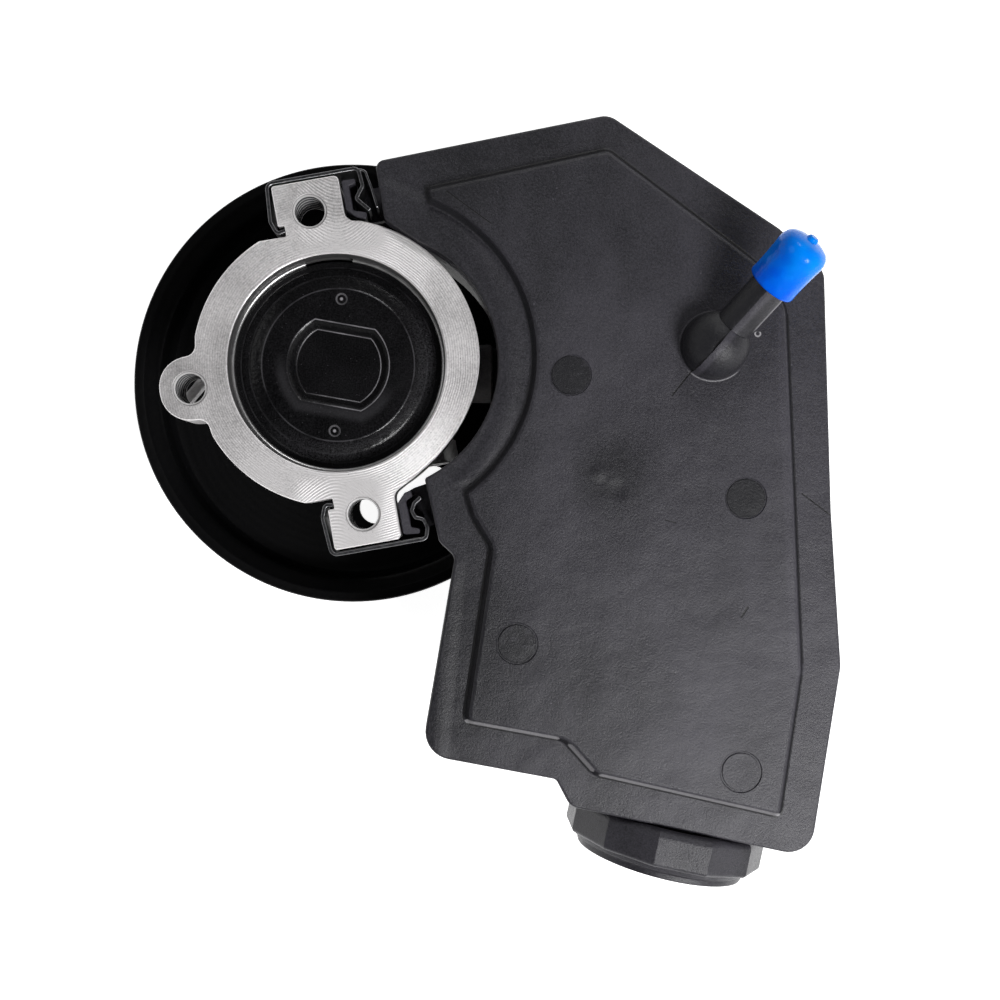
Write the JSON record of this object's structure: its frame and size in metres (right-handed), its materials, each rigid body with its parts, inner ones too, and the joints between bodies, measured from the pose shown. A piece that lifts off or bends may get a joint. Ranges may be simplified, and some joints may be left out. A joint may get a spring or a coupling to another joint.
{
  "type": "power steering pump",
  "caption": "Vane pump with a grooved belt pulley, a clipped-on wrap-around fluid reservoir with filler cap, and a capped return nozzle.",
  "frame": {"origin": "on the shaft axis, at the centre of the flat floor of the pocket in the end cover (mount cover_press_face)", "axes": "+Z along the shaft axis, out of the rear of the pump; +X towards the reservoir; +Y towards the upper mounting ear; the part lies on the front rim of its pulley"},
  "size_m": [0.2164, 0.2257, 0.1197],
  "materials": {
    "cast_aluminium": "die-cast, milled rear face",
    "black_paint": "black satin coating on steel",
    "bright_steel": "machined steel",
    "spring_steel": "dark tempered spring steel",
    "black_plastic": "moulded, fine satin grain",
    "seal_rubber": "moulded rubber",
    "bearing_bronze": "sintered bearing bronze",
    "blue_vinyl": "soft bright-blue vinyl"
  },
  "bodies": {
    "pump": {"pump_housing": "cast_aluminium", "end_cover": "black_paint", "end_cover_ring": "bright_steel", "end_cover_seal": "seal_rubber", "pressure_plate_spring": "bright_steel", "pressure_plate": "bright_steel", "pressure_plate_seal": "seal_rubber", "cam_ring": "bright_steel", "thrust_plate": "bright_steel", "dowel_pin_1": "bright_steel", "dowel_pin_2": "bright_steel", "shaft_bush": "bearing_bronze", "shaft_seal": "seal_rubber", "flow_valve_spring": "spring_steel", "outlet_fitting": "bright_steel", "outlet_fitting_seal": "seal_rubber", "reservoir_rear_half": "black_plastic", "reservoir_front_half": "black_plastic", "reservoir_port_seal": "seal_rubber", "clip_upper": "spring_steel", "clip_lower": "spring_steel"},
    "rotating_group": {"pulley_sheave": "black_paint", "pulley_hub": "bright_steel", "drive_shaft": "bright_steel", "rotor": "bright_steel", "rotor_circlip": "spring_steel", "vane_01": "bright_steel", "vane_02": "bright_steel", "vane_03": "bright_steel", "vane_04": "bright_steel", "vane_05": "bright_steel", "vane_06": "bright_steel", "vane_07": "bright_steel", "vane_08": "bright_steel", "vane_09": "bright_steel", "vane_10": "bright_steel"},
    "dipstick_insert": {"dipstick": "black_plastic", "filler_cap_seal": "seal_rubber"},
    "filler_cap": {"filler_cap": "black_plastic"},
    "dust_cap": {"nozzle_dust_cap": "blue_vinyl"},
    "flow_spool": {"flow_valve_spool": "bright_steel"}
  },
  "joints": [
    {"name": "pulley_spin", "type": "hinge", "parent": "pump", "child": "rotating_group", "pos_m": [0, 0, -0.049], "axis": [0, 0, 1], "continuous": true},
    {"name": "dipstick_lift", "type": "slide", "parent": "pump", "child": "dipstick_insert", "axis": [-0.2079, -0.9781, 0], "range_m": [0, 0.07]},
    {"name": "cap_turn", "type": "hinge", "parent": "dipstick_insert", "child": "filler_cap", "pos_m": [0.09695, -0.14124, -0.014], "axis": [-0.2079, -0.9781, 0], "range_deg": [0, 90]},
    {"name": "dust_cap_pull", "type": "slide", "parent": "pump", "child": "dust_cap", "axis": [0.5391, 0.6425, 0.5446], "range_m": [0, 0.02]},
    {"name": "flow_spool_slide", "type": "slide", "parent": "pump", "child": "flow_spool", "axis": [-0.1736, 0.9848, 0], "range_m": [0, 0.005], "stiffness_N_per_m": 6000, "springref_m": -0.003, "deforming": ["flow_valve_spring"]}
  ]
}
